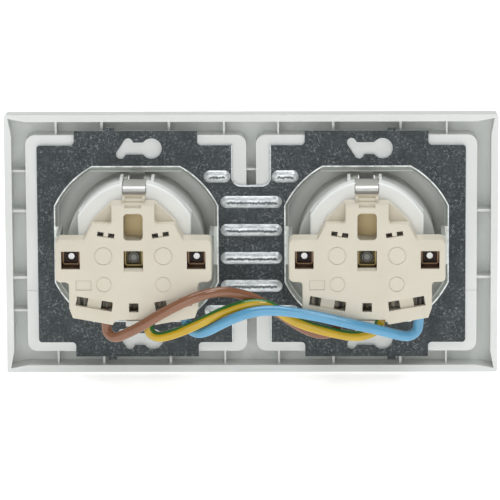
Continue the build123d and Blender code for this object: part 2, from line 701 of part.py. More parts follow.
# Terminal bases: rear covers with arms, windows over the terminals and wire entries from below
for side, unit_x in units:
    with BuildPart() as terminal_base:
        with BuildSketch(depth_plane(base_rear, unit_x)):
            base_outline()
        extrude(amount=base_depth)
        with BuildSketch(depth_plane(base_rear, unit_x)) as rear:
            base_outline()
            with Locations((0, (arm_top + arm_bottom) / 2)):
                RectangleRounded(2 * arm_half_width, arm_top - arm_bottom, arm_corner)
            inner_spots = (
                (body_half_width, arm_top),
                (lower_half_width, arm_bottom),
                (neck_half_width, shoulder[1]),
            )
            inner_corners = [
                corner
                for corner in rear.vertices()
                for spot in inner_spots
                if abs(abs(corner.X) - spot[0]) < 0.01 and abs(corner.Y - spot[1]) < 0.01
            ]
            fillet(inner_corners, inner_corner)
        extrude(amount=arm_thickness)
        fillet(terminal_base.faces().sort_by(Axis.Y)[-1].outer_wire().edges(), base_round)
        with BuildSketch(depth_plane(clip_rear + web_depth, unit_x)):
            with BuildLine() as web:
                Polyline(
                    (0, shoulder[1]),
                    shoulder,
                    (neck_half_width, neck_top),
                    (0, neck_top),
                )
                mirror(web.line, about=Plane.YZ)
            make_face()
        extrude(amount=web_depth)
        with BuildSketch(depth_plane(base_inside, unit_x)):
            base_outline()
            offset(amount=-base_wall, kind=Kind.INTERSECTION, mode=Mode.REPLACE)
        extrude(amount=base_depth, mode=Mode.SUBTRACT)
        for across in (-1, 1):
            post_x = unit_x + across * (neck_post_inside + neck_post / 2)
            post_height = neck_post_top - neck_top + base_wall / 2
            with Locations(
                (post_x, clip_rear + neck_post_depth / 2, neck_post_top - post_height / 2)
            ):
                Box(neck_post, neck_post_depth, post_height)
        ledge_height = neck_ledge_top - neck_top + base_wall / 2
        with Locations((unit_x, clip_rear + neck_ledge_depth / 2, neck_ledge_top - ledge_height / 2)):
            Box(2 * neck_post_inside, neck_ledge_depth, ledge_height)
        boss_depth = base_inside - bridge_rear - window_seat_gap
        with BuildSketch(depth_plane(base_inside, unit_x)):
            Rectangle(centre_window[0] + 2 * window_wall, centre_window[1] + 2 * window_wall)
            with Locations((0, top_window_height)):
                Rectangle(2 * (neck_half_width - base_wall), top_window[1] + 2 * window_wall)
        extrude(amount=boss_depth)
        partition_depth = base_inside - contact_rear - partition_gap
        partition_low = bottom_step[1] + base_wall
        partition_z = partition_low + partition_height / 2
        for across in (-1, 1):
            partition_x = unit_x + across * (partition_inside + partition_wall / 2)
            with Locations((partition_x, base_inside - partition_depth / 2, partition_z)):
                Box(partition_wall, partition_depth, partition_height)
        with BuildSketch(depth_plane(base_rear, unit_x)):
            Rectangle(*centre_window)
            with Locations((0, top_window_height)):
                RectangleRounded(*top_window, top_window_corner)
            with GridLocations(2 * side_window_offset, 0, 2, 1):
                Rectangle(*side_window)
            with Locations((0, lower_window_height)):
                Rectangle(*lower_window)
        extrude(amount=base_depth, mode=Mode.SUBTRACT)
        for across in (-1, 1):
            tilt = across * terminal_window_tilt
            opening_shift = (terminal_window[0] - terminal_opening) / 2
            window_spot = Location((across * terminal_window_centre[0], terminal_window_centre[1]), tilt)
            slot_spot = Location(
                (across * release_slot_centre[0], release_slot_centre[1]), across * release_slot_tilt
            )
            with BuildSketch(depth_plane(base_rear, unit_x)):
                with Locations(window_spot):
                    Rectangle(*terminal_window)
            extrude(amount=terminal_window_step, mode=Mode.SUBTRACT)
            with BuildSketch(depth_plane(base_rear, unit_x)):
                with Locations(window_spot):
                    with GridLocations(2 * opening_shift, 0, 2, 1):
                        Rectangle(terminal_opening, terminal_window[1])
                with Locations(slot_spot):
                    with GridLocations(release_slot[0] - release_opening, 0, 2, 1):
                        Rectangle(release_opening, release_slot[1])
            extrude(amount=base_rear_wall, mode=Mode.SUBTRACT)
            with BuildSketch(depth_plane(base_rear, unit_x)):
                with Locations(window_spot):
                    with Locations((0, -label_drop)):
                        Rectangle(*label_field)
                for ring_x, ring_z, ring_radius in moulded_rings:
                    with Locations((across * ring_x, ring_z)):
                        Circle(ring_radius)
                        Circle(ring_radius - ring_groove, mode=Mode.SUBTRACT)
            extrude(amount=label_depth, mode=Mode.SUBTRACT)
            with BuildSketch(depth_plane(base_rear, unit_x)):
                with Locations(slot_spot):
                    with Locations((0, (release_line - release_slot[1]) / 2)):
                        Rectangle(release_slot[0], release_line)
            extrude(amount=release_line, mode=Mode.SUBTRACT)
        with BuildSketch(depth_plane(base_rear, unit_x)):
            with Locations(date_field_centre):
                Rectangle(*date_field)
        extrude(amount=label_depth, mode=Mode.SUBTRACT)
        with BuildSketch(depth_plane(base_rear, unit_x)):
            with Locations((0, neck_top - neck_line[1] / 2)):
                Rectangle(*neck_line)
        extrude(amount=neck_line_depth, mode=Mode.SUBTRACT)
        for window_x, window, sill_height in (
            (-side_window_offset, side_window, side_sill_height),
            (0, centre_window, centre_sill_height),
            (side_window_offset, side_window, side_sill_height),
        ):
            with BuildSketch(side_plane(unit_x + window_x)):
                with BuildLine():
                    Polyline(
                        (base_rear, -window[1] / 2),
                        (base_rear, -window[1] / 2 - sill_height),
                        (base_rear - sill_depth, -window[1] / 2),
                        close=True,
                    )
                make_face()
            extrude(amount=window[0] / 2, both=True, mode=Mode.SUBTRACT)
        with BuildSketch(depth_plane(base_inside + pin_relief_depth, unit_x)):
            with GridLocations(pin_spacing, 0, 2, 1):
                Circle(pin_relief_radius)
        extrude(amount=pin_relief_depth, mode=Mode.SUBTRACT)
        entry_length = platform_bottom - foot_inner[1]
        with BuildSketch(Plane(origin=(unit_x, wire_depth, foot_inner[1]))):
            for entry in (earth_entry, inner_entry, outer_entry):
                with GridLocations(2 * entry, 0, 2, 1):
                    Circle(wire_entry_radius)
        extrude(amount=entry_length, mode=Mode.SUBTRACT)
    terminal_base.part.label = f"{side}_terminal_base"
    export_step(terminal_base.part, f"parts/{side}_terminal_base.step")

# Live and neutral contacts: a channel round each plug pin, a riser and a platform for the wires
for side, unit_x in units:
    for pole, across in (("live", 1), ("neutral", -1)):
        receptacle_height = receptacle_half + receptacle_wall
        inside_x = unit_x + across * receptacle_inside
        outside_x = unit_x + across * contact_outside
        with BuildPart() as contact:
            with BuildSketch(depth_plane(contact_rear)):
                with Locations(((inside_x + outside_x) / 2, (receptacle_height + riser_top) / 2)):
                    Rectangle(contact_outside - receptacle_inside, receptacle_height - riser_top)
                with Locations((unit_x + across * pin_offset, 0)):
                    Circle(contact_hole_radius, mode=Mode.SUBTRACT)
            extrude(amount=contact_thickness)
            with BuildSketch(depth_plane(contact_rear)):
                with Locations(((inside_x + outside_x) / 2, 0)):
                    Rectangle(contact_outside - receptacle_inside, 2 * receptacle_height)
                channel_x = inside_x + across * (contact_outside - receptacle_inside + receptacle_wall) / 2
                with Locations((channel_x, 0)):
                    Rectangle(
                        contact_outside - receptacle_inside - receptacle_wall,
                        2 * receptacle_half,
                        mode=Mode.SUBTRACT,
                    )
            extrude(amount=-receptacle_length)
            narrow_x = unit_x + across * (platform_inside + contact_outside) / 2
            narrow_width = contact_outside - platform_inside
            with BuildSketch(side_plane(narrow_x)):
                with BuildLine():
                    Polyline(
                        (cup_rear, riser_top + contact_thickness),
                        (contact_rear, riser_top + contact_thickness),
                        (contact_rear, riser_top),
                        (platform_rear, riser_top),
                        (platform_rear, platform_top),
                        (platform_front, platform_top),
                        (platform_front, riser_top - contact_thickness),
                        (cup_rear, riser_top - contact_thickness),
                        close=True,
                    )
                make_face()
            extrude(amount=narrow_width / 2, both=True)
            platform_x = unit_x + across * (platform_inside + platform_outside) / 2
            platform_z = (platform_top + platform_bottom) / 2
            with Locations((platform_x, platform_rear - contact_thickness / 2, platform_z)):
                Box(
                    platform_outside - platform_inside,
                    contact_thickness,
                    platform_top - platform_bottom,
                )
        contact.part.label = f"{side}_{pole}_contact"
        export_step(contact.part, f"parts/{side}_{pole}_contact.step")

# Earth bridges: strips under the base windows with a platform for the earth wires
for side, unit_x in units:
    with BuildPart() as earth_bridge:
        with BuildSketch(side_plane(unit_x)):
            with BuildLine():
                Polyline(
                    (clip_rear, bridge_top),
                    (bridge_rear, bridge_top),
                    (bridge_rear, riser_top),
                    (platform_rear, riser_top),
                    (platform_rear, platform_top),
                    (platform_front, platform_top),
                    (platform_front, riser_top - contact_thickness),
                    (clip_rear, riser_top - contact_thickness),
                    close=True,
                )
            make_face()
        extrude(amount=bridge_half_width, both=True)
        platform_z = (platform_top + platform_bottom) / 2
        with Locations((unit_x, platform_rear - contact_thickness / 2, platform_z)):
            Box(2 * earth_platform_half, contact_thickness, platform_top - platform_bottom)
        with BuildSketch(depth_plane(bridge_rear, unit_x)):
            Circle(centre_screw_hole)
        extrude(amount=contact_thickness, mode=Mode.SUBTRACT)
    earth_bridge.part.label = f"{side}_earth_bridge"
    export_step(earth_bridge.part, f"parts/{side}_earth_bridge.step")

# Clamp springs: folded leaves that stand on the platforms and press on the conductors
for side, unit_x in units:
    pole_middle = (platform_inside + platform_outside) / 2
    pole_width = platform_outside - platform_inside - 2 * spring_side_gap
    earth_width = 2 * (earth_platform_half - spring_side_gap)
    leg_z = platform_top - spring_thickness / 2
    fold_depth = platform_rear + spring_rise
    tip_depth = wire_depth + conductor_diameter / 2 + spring_thickness
    for pole, centre, width in (
        ("live", pole_middle, pole_width),
        ("neutral", -pole_middle, pole_width),
        ("earth", 0, earth_width),
    ):
        with BuildPart() as clamp_spring:
            with BuildSketch(side_plane(unit_x + centre)):
                with BuildLine():
                    FilletPolyline(
                        (platform_rear, leg_z),
                        (fold_depth, leg_z),
                        (fold_depth, spring_fold),
                        (fold_depth - spring_gap, spring_fold),
                        (tip_depth, spring_tip),
                        radius=spring_bend,
                    )
                trace(line_width=spring_thickness)
            extrude(amount=width / 2, both=True)
            slit_depth = fold_depth - tip_depth
            slit_middle = (leg_z + spring_fold) / 2
            with Locations((unit_x + centre, (fold_depth + tip_depth) / 2, slit_middle - spring_bend)):
                Box(spring_slit, 2 * slit_depth, leg_z - spring_fold, mode=Mode.SUBTRACT)
        clamp_spring.part.label = f"{side}_{pole}_spring"
        export_step(clamp_spring.part, f"parts/{side}_{pole}_spring.step")

# Fasteners: countersunk screws with a driving slot, and caged square nuts
def turned_screw(x, head_depth, end_depth, radius, head_radius):
    """Countersunk screw along the depth axis with a straight driving slot."""
    cone = (head_radius - radius) / tan(radians(head_angle / 2))
    with BuildSketch(Plane.XY) as profile:
        with BuildLine():
            Polyline(
                (x, head_depth),
                (x + head_radius, head_depth),
                (x + radius, head_depth + cone),
                (x + radius, end_depth - screw_chamfer),
                (x + radius - screw_chamfer, end_depth),
                (x, end_depth),
                close=True,
            )
        make_face()
    revolve(profile.sketch, axis=Axis((x, 0, 0), (0, 1, 0)))
    with Locations((x, head_depth, 0)):
        Box(2 * head_radius, 2 * drive_slot_depth, drive_slot_width, mode=Mode.SUBTRACT)


def caged_nut(x, front, thickness, window, hole):
    """Square nut with a thin raised cage round its rear face."""
    with BuildSketch(depth_plane(front + thickness + nut_cage, x)) as block:
        RectangleRounded(window[0] - 2 * nut_play, window[1] - 2 * nut_play, nut_corner)
    extrude(block.sketch, amount=thickness + nut_cage)
    with BuildSketch(depth_plane(front + thickness + nut_cage, x)) as pocket:
        RectangleRounded(
            window[0] - 2 * nut_play - 2 * nut_wall,
            window[1] - 2 * nut_play - 2 * nut_wall,
            nut_corner - nut_wall,
        )
    extrude(pocket.sketch, amount=nut_cage, mode=Mode.SUBTRACT)
    with BuildSketch(depth_plane(front + thickness, x)) as thread:
        Circle(hole)
    extrude(thread.sketch, amount=thickness, mode=Mode.SUBTRACT)


with BuildPart() as centre_screws:
    for side, unit_x in units:
        turned_screw(unit_x, well_floor, centre_screw_end, centre_screw_radius, centre_screw_head_radius)
centre_screws.part.label = "centre_screws"
export_step(centre_screws.part, "parts/centre_screws.step")

with BuildPart() as centre_nuts:
    for side, unit_x in units:
        caged_nut(unit_x, bridge_rear, centre_nut_thickness, centre_window, centre_screw_radius)
centre_nuts.part.label = "centre_nuts"
export_step(centre_nuts.part, "parts/centre_nuts.step")

with BuildPart() as side_screws:
    for side, unit_x in units:
        for across in (-1, 1):
            screw_x = unit_x + across * side_window_offset
            turned_screw(screw_x, ear_front, side_screw_end, side_screw_radius, side_screw_head_radius)
side_screws.part.label = "side_screws"
export_step(side_screws.part, "parts/side_screws.step")

with BuildPart() as side_nuts:
    for side, unit_x in units:
        for across in (-1, 1):
            nut_x = unit_x + across * side_window_offset
            caged_nut(nut_x, arm_front, side_nut_thickness, side_window, side_screw_radius)
side_nuts.part.label = "side_nuts"
export_step(side_nuts.part, "parts/side_nuts.step")

# Link wires: solid-core wires bent by hand from terminal to terminal
right_x = unit_pitch / 2
left_x = -unit_pitch / 2
wire_ends = {
    "brown_wire": (right_x + inner_entry, left_x + inner_entry),
    "earth_wire": (right_x - earth_entry, left_x - earth_entry),
    "blue_wire": (right_x - outer_entry, left_x - outer_entry),
}
wire_routes = {
    "brown_wire": (
        (44.2, 19.0, -21.4),
        (43.8, 19.4, -24.0),
        (41.2, 20.7, -25.1),
        (37.3, 23.4, -22.8),
        (33.0, 25.7, -20.1),
        (28.4, 26.4, -17.0),
        (23.8, 26.8, -14.4),
        (18.9, 26.7, -12.0),
        (13.8, 25.9, -10.2),
        (8.8, 24.3, -9.7),
        (4.2, 22.1, -10.7),
        (-0.2, 19.9, -12.5),
        (-4.4, 18.7, -14.9),
        (-8.3, 18.3, -17.6),
        (-12.2, 18.1, -20.3),
        (-16.0, 18.2, -22.6),
        (-19.4, 18.4, -24.0),
        (-22.6, 18.4, -24.5),
        (-25.8, 18.6, -23.4),
        (-26.8, 19.0, -20.9),
    ),
    "earth_wire": (
        (31.4, 19.0, -21.2),
        (30.9, 19.3, -23.8),
        (28.3, 20.2, -25.0),
        (24.6, 21.3, -24.0),
        (20.0, 22.3, -22.1),
        (15.0, 22.0, -19.9),
        (10.0, 21.7, -17.3),
        (5.0, 22.3, -15.2),
        (0.2, 23.2, -13.9),
        (-4.4, 22.9, -13.9),
        (-8.3, 22.4, -16.0),
        (-12.2, 22.1, -18.9),
        (-17.2, 22.1, -21.0),
        (-22.2, 22.2, -22.4),
        (-27.0, 21.8, -23.6),
        (-31.2, 21.1, -24.5),
        (-34.8, 20.0, -24.4),
        (-38.0, 19.3, -23.2),
        (-39.6, 19.0, -21.0),
    ),
    "blue_wire": (
        (19.7, 19.0, -20.9),
        (18.4, 18.8, -23.1),
        (15.8, 19.6, -23.9),
        (12.6, 21.1, -22.6),
        (9.2, 23.1, -20.3),
        (5.4, 24.5, -18.2),
        (1.2, 25.5, -16.4),
        (-3.6, 26.0, -15.3),
        (-8.8, 26.3, -15.3),
        (-14.2, 26.5, -15.9),
        (-19.8, 26.6, -16.9),
        (-25.4, 26.5, -18.2),
        (-31.0, 26.2, -19.6),
        (-36.4, 25.2, -21.0),
        (-41.2, 23.5, -22.6),
        (-45.0, 21.6, -24.0),
        (-48.1, 20.2, -24.8),
        (-50.7, 19.3, -23.5),
        (-51.3, 19.0, -21.1),
    ),
}


def bend_radii(points):
    """One radius for each corner: a share of its shorter run over the tangent of half its turn."""
    corners = [Vector(*point) for point in points]
    radii = []
    for before, corner, after in zip(corners, corners[1:], corners[2:]):
        arrive = corner - before
        leave = after - corner
        half_turn = radians(arrive.get_angle(leave) / 2)
        radii.append(arc_share * min(arrive.length, leave.length) / tan(half_turn))
    return radii


for name, (first_x, last_x) in wire_ends.items():
    points = [
        (first_x, wire_depth, wire_start),
        *wire_routes[name],
        (last_x, wire_depth, wire_start),
    ]
    radii = bend_radii(points)
    with BuildPart() as wire:
        with BuildLine() as route:
            FilletPolyline(*points, radius=radii)
        path = route.wires()[0]
        with BuildSketch(Plane(origin=path @ 0, z_dir=path % 0)) as section:
            Circle(wire_diameter / 2)
        sweep()
    swept = section.sketch.area * path.length
    print(name, "length", round(path.length, 1), "volume share", round(wire.part.volume / swept, 4))
    print(name, "radii", [round(radius, 1) for radius in radii])
    wire.part.label = name
    export_step(wire.part, f"parts/{name}.step")

with BuildPart() as conductor_ends:
    for ends in wire_ends.values():
        for end_x in ends:
            with BuildSketch(Plane(origin=(end_x, wire_depth, wire_start))):
                Circle(conductor_diameter / 2)
            extrude(amount=conductor_top - wire_start)
conductor_ends.part.label = "conductor_ends"
export_step(conductor_ends.part, "parts/conductor_ends.step")
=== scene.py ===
from math import cos, radians, sin

import bpy
import numpy as np
from mathutils import Matrix, Vector


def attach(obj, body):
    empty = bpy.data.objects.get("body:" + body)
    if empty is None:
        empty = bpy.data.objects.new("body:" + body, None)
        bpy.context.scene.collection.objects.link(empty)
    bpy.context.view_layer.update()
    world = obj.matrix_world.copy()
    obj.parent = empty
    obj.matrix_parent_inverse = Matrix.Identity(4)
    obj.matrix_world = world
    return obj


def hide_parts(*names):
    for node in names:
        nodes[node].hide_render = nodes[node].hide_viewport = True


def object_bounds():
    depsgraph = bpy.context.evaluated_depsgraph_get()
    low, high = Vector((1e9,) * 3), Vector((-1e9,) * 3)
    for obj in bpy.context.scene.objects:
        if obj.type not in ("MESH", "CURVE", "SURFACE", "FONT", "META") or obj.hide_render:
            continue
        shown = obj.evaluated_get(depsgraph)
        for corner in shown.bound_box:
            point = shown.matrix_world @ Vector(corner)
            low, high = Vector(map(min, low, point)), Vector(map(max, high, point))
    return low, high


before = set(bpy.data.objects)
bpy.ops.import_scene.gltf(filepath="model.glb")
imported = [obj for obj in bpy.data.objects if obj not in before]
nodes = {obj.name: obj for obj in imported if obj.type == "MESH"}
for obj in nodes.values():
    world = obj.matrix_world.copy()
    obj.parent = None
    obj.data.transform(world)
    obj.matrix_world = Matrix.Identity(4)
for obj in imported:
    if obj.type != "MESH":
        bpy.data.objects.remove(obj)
cad_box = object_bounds()
scene = bpy.context.scene
scene.view_settings.view_transform = "Standard"

MM = 0.001
UNIT_OFFSET = 35.5 * MM

# Camera fitted to the frame corners, the window centres and the plate corners in the photograph
IMAGE_SIDE = 500
SENSOR_WIDTH = 36.0
FOCAL_PIXELS = 4751.0
TARGET = Vector((0.46, 0.0, -1.88)) * MM
DISTANCE = 1466.0 * MM
ELEVATION = radians(11.58)
AZIMUTH = radians(181.02)
ROLL = radians(-0.295)


def place_camera():
    """Looks from the rear, a little above, with a long lens and a slight roll."""
    away = Vector(
        (cos(ELEVATION) * sin(AZIMUTH), -cos(ELEVATION) * cos(AZIMUTH), sin(ELEVATION))
    )
    right = (-away).cross(Vector((0, 0, 1))).normalized()
    up = right.cross(-away)
    tilted_right = cos(ROLL) * right + sin(ROLL) * up
    tilted_up = cos(ROLL) * up - sin(ROLL) * right
    data = bpy.data.cameras.new("photo_camera")
    data.sensor_width = SENSOR_WIDTH
    data.lens = SENSOR_WIDTH * FOCAL_PIXELS / IMAGE_SIDE
    data.clip_end = 20.0
    camera = bpy.data.objects.new("photo_camera", data)
    scene.collection.objects.link(camera)
    axes = Matrix((tilted_right, tilted_up, away)).transposed().to_4x4()
    camera.matrix_world = Matrix.Translation(TARGET + DISTANCE * away) @ axes
    scene.camera = camera


place_camera()

# The range that most of a noise lies in
NOISE_LOW, NOISE_HIGH = 0.3, 0.7


class Shader:
    """A node material. Its values are pairs of a node and the name or number of an output."""

    def __init__(self, name):
        self.material = bpy.data.materials.new(name)
        self.material.use_nodes = True
        self.tree = self.material.node_tree
        self.tree.nodes.clear()
        output = self.add("ShaderNodeOutputMaterial")
        self.surface = self.add("ShaderNodeBsdfPrincipled")
        self.join((self.surface, "BSDF"), output.inputs["Surface"])
        self.coordinates = self.add("ShaderNodeTexCoord")

    def add(self, kind, **values):
        node = self.tree.nodes.new(kind)
        for key, value in values.items():
            setattr(node, key, value)
        return node

    def join(self, pair, entry):
        self.tree.links.new(pair[0].outputs[pair[1]], entry)

    def fill(self, entry, value):
        """Gives an input a value: a pair is joined to it, a colour or a number is set on it."""
        if not isinstance(value, tuple):
            entry.default_value = value
        elif hasattr(value[0], "outputs"):
            self.join(value, entry)
        else:
            entry.default_value = (*value, 1.0)

    def feed(self, entry, pair):
        """Joins a value to one of the surface's own inputs."""
        self.join(pair, self.surface.inputs[entry])

    def set(self, **values):
        """Sets numbers and colours that are the same all over on the surface's own inputs."""
        for key, value in values.items():
            self.surface.inputs[key.replace("_", " ")].default_value = value

    def mapped(self, source, **values):
        """Coordinates turned or scaled by a Mapping node."""
        node = self.add("ShaderNodeMapping")
        for key, value in values.items():
            node.inputs[key].default_value = value
        self.join(source, node.inputs["Vector"])
        return node, "Vector"

    def noise(self, scale, detail=2.0, rough=0.5, place=None):
        node = self.add("ShaderNodeTexNoise")
        node.inputs["Scale"].default_value = scale
        node.inputs["Detail"].default_value = detail
        node.inputs["Roughness"].default_value = rough
        self.join(place or (self.coordinates, "Object"), node.inputs["Vector"])
        return node, "Fac"

    def streaks(self, stretch, detail, rough):
        """Noise drawn out along the axes."""
        place = self.mapped((self.coordinates, "Object"), Scale=stretch)
        return self.noise(1.0, detail, rough, place)

    def hairlines(self, turn, along, across):
        """Noise drawn out into short thin lines that lie at one turn in the plane of the wall."""
        turned = self.mapped((self.coordinates, "Object"), Rotation=(0.0, turn, 0.0))
        return self.noise(1.0, place=self.mapped(turned, Scale=(along, 1.0, across)))

    def ramp(self, source, stops):
        node = self.add("ShaderNodeValToRGB")
        elements = node.color_ramp.elements
        for place, _ in stops[2:]:
            elements.new(place)
        for element, (place, colour) in zip(elements, stops):
            element.position = place
            element.color = (*colour, 1.0)
        self.join(source, node.inputs["Fac"])
        return node, "Color"

    def clouds(self, scale, dark, light, detail=3.0, rough=0.5):
        """A tone that drifts between two colours."""
        stops = [(NOISE_LOW, dark), (NOISE_HIGH, light)]
        return self.ramp(self.noise(scale, detail, rough), stops)

    def drift(self, source, low, high):
        """A number that drifts between two values with a noise."""
        return self.spread(source, NOISE_LOW, NOISE_HIGH, low, high)

    def spread(self, source, low, high, start=0.0, end=1.0, smooth=True):
        """Runs from start to end while a value runs from low to high."""
        node = self.add("ShaderNodeMapRange")
        node.interpolation_type = "SMOOTHSTEP" if smooth else "LINEAR"
        limits = {"From Min": low, "From Max": high, "To Min": start, "To Max": end}
        for key, value in limits.items():
            node.inputs[key].default_value = value
        self.join(source, node.inputs["Value"])
        return node, 0

    def mix(self, share, first, second, mode="MIX"):
        node = self.add("ShaderNodeMix", data_type="RGBA", blend_type=mode)
        for entry, value in ((0, share), (6, first), (7, second)):
            self.fill(node.inputs[entry], value)
        return node, 2

    def combine(self, operation, first, second=0.0):
        node = self.add("ShaderNodeMath", operation=operation)
        self.fill(node.inputs[0], first)
        self.fill(node.inputs[1], second)
        return node, 0

    def axis(self, name, source="Object"):
        parts = self.add("ShaderNodeSeparateXYZ")
        self.join((self.coordinates, source), parts.inputs["Vector"])
        return parts, name

    def facing(self, name):
        """How squarely a face looks along an axis, from 0 to 1 either way."""
        return self.combine("ABSOLUTE", self.axis(name, "Normal"))

    def along_unit(self):
        """Distance along X from the middle of the nearer unit, with its sign."""
        side = self.combine("SIGN", self.axis("X"))
        middle = self.combine("MULTIPLY", side, UNIT_OFFSET)
        return self.combine("SUBTRACT", self.axis("X"), middle)

    def off_unit(self):
        """Distance sideways from the middle of the nearer unit, without its sign."""
        return self.combine("ABSOLUTE", self.along_unit())

    def radius(self):
        """Distance from the nearer unit's axis: the root of offset squared plus height squared."""
        sides = (self.off_unit(), self.axis("Z"))
        squares = (self.combine("MULTIPLY", value, value) for value in sides)
        return self.combine("SQRT", self.combine("ADD", *squares))

    def within(self, value, middle, half, soft=0.2 * MM):
        """1 where a value lies inside its middle plus or minus half, with a soft edge."""
        away = self.combine("ABSOLUTE", self.combine("SUBTRACT", value, middle))
        return self.spread(away, half + soft, half - soft)

    def bump(self, pair, strength, distance):
        node = self.add("ShaderNodeBump")
        node.inputs["Strength"].default_value = strength
        node.inputs["Distance"].default_value = distance
        self.join(pair, node.inputs["Height"])
        self.feed("Normal", (node, "Normal"))


# Depth of a moulded grain and of the marks in zinc
GRAIN_DEPTH = 0.02 * MM
SPANGLE_DEPTH = 0.03 * MM


def white_moulding(shader, tone):
    """Gives a white moulding its tone, an uneven soft gloss and a very fine grain."""
    shader.feed("Base Color", tone)
    shader.set(Specular_IOR_Level=0.4)
    shader.feed("Roughness", shader.drift(shader.noise(400.0), 0.3, 0.4))
    shader.bump(shader.noise(2600.0, 3.0, 0.6), 0.12, GRAIN_DEPTH)
    return shader.material


# Depths between which painted light makes the frame's hollow lighter
FRAME_HOLLOW_PAINTED_LIGHT = (-2.0 * MM, -6.0 * MM)


def frame_plastic():
    """White plastic, with painted light making it a little lighter in the hollow behind the front
    wall.
    """
    shader = Shader("frame_plastic")
    tone = shader.clouds(55.0, (0.67, 0.69, 0.675), (0.71, 0.73, 0.715))
    # Painted light: the hollow behind the front wall is given a lighter tone.
    hollow = shader.spread(shader.axis("Y"), *FRAME_HOLLOW_PAINTED_LIGHT)
    return white_moulding(shader, shader.mix(hollow, tone, (0.72, 0.745, 0.72)))


# Radii over which painted light on the cup's back and painted shading on the floor around it
# change tone, the wall of the well, and the depths at the foot of the cup where that shading comes
# in
CUP_BACK_PAINTED_LIGHT = (13.0 * MM, 21.0 * MM)
CUP_BACK_PAINTED_LIGHT_STOPS = [(0.0, (1.0, 1.0, 0.97)), (1.0, (0.79, 0.81, 0.79))]
AROUND_CUP_PAINTED_SHADING = (20.0 * MM, 27.5 * MM)
AROUND_CUP_PAINTED_SHADING_STOPS = [(0.0, (0.56, 0.58, 0.54)), (0.6, (0.95, 0.97, 0.93))]
WELL_WALL = (19.9 * MM, 20.4 * MM)
CUP_FOOT_PAINTED_SHADE = (8.2 * MM, 6.0 * MM)


def centre_plastic():
    """White cups, painted lighter near the axis; what lies before them is painted shading, grey by
    the cup and lighter away from it.
    """
    shader = Shader("centre_plastic")
    tone = shader.clouds(55.0, (0.79, 0.81, 0.79), (0.82, 0.84, 0.82))
    looks_back = shader.axis("Y", "Normal")
    radius = shader.radius()
    # Painted light: the cup's rear faces are lighter towards the unit's axis, where the base
    # shades them.
    back = shader.ramp(shader.spread(radius, *CUP_BACK_PAINTED_LIGHT), CUP_BACK_PAINTED_LIGHT_STOPS)
    white = shader.mix(shader.spread(looks_back, 0.8, 0.97), tone, back)
    # Painted shading before the cup: grey by it, and lighter than the white further away.
    around = shader.ramp(shader.spread(radius, *AROUND_CUP_PAINTED_SHADING), AROUND_CUP_PAINTED_SHADING_STOPS)
    outside_well = shader.combine(
        "MAXIMUM", shader.spread(radius, *WELL_WALL), shader.spread(looks_back, 0.3, 0.7)
    )
    not_front = shader.spread(looks_back, -0.6, -0.1)
    painted_shade_faces = shader.combine("MULTIPLY", outside_well, not_front)
    # Painted shade comes in on the deep faces in front of the cup.
    painted_shade_depth = shader.spread(shader.axis("Y"), *CUP_FOOT_PAINTED_SHADE)
    share = shader.combine("MULTIPLY", painted_shade_depth, painted_shade_faces)
    return white_moulding(shader, shader.mix(share, white, around))


# Windows and date field of the terminal bases
SIDE_WINDOW_OFFSET = 19.1 * MM
SIDE_WINDOW = (5.7 * MM, 5.2 * MM)
CENTRE_WINDOW = (5.9 * MM, 5.45 * MM)
WINDOW_EDGE = 0.3 * MM
DATE_FIELD = (4.6 * MM, 2.9 * MM)
DATE_FIELD_CENTRE = (15.2 * MM, -7.95 * MM)
DATE_FIELD_SHADE_LINE = 0.16 * MM
DATE_FIELD_SOFT = 0.1 * MM
# Depths over which painted shade turns the mouldings tan, where the metal linings painted on the
# windows' walls start and how far they reach, and their tones from the rear edge inwards: dark
# bands of painted shade and lighter bands of painted highlight on lit rims
BASE_DEEP_PAINTED_SHADE = (22.5 * MM, 16.5 * MM)
LINING_START = (23.9 * MM, 23.6 * MM)
LINING_REACH = (24.0 * MM, 16.0 * MM)
SIDE_LINING_SHADE_AND_HIGHLIGHTS = [
    (0.0, (0.1, 0.05, 0.026)),
    (0.16, (0.12, 0.062, 0.032)),
    (0.26, (0.04, 0.018, 0.01)),
    (0.5, (0.05, 0.023, 0.012)),
    (0.62, (0.3, 0.16, 0.08)),
    (0.76, (0.06, 0.028, 0.014)),
]
CENTRE_LINING_SHADE_AND_HIGHLIGHTS = [
    (0.0, (0.36, 0.29, 0.13)),
    (0.16, (0.36, 0.29, 0.13)),
    (0.26, (0.06, 0.045, 0.015)),
    (0.5, (0.06, 0.045, 0.015)),
    (0.62, (0.25, 0.2, 0.08)),
    (0.76, (0.07, 0.055, 0.02)),
]


def date_field_shade_line(shader):
    """A painted shade line round the bare date field: a box a little larger, less one a little
    smaller.
    """
    boxes = []
    for margin in (DATE_FIELD_SHADE_LINE, -DATE_FIELD_SHADE_LINE):
        places = zip((shader.along_unit(), shader.axis("Z")), DATE_FIELD_CENTRE, DATE_FIELD)
        spans = (
            shader.within(value, middle, size / 2 + margin, DATE_FIELD_SOFT)
            for value, middle, size in places
        )
        boxes.append(shader.combine("MULTIPLY", *spans))
    return shader.combine("SUBTRACT", *boxes)


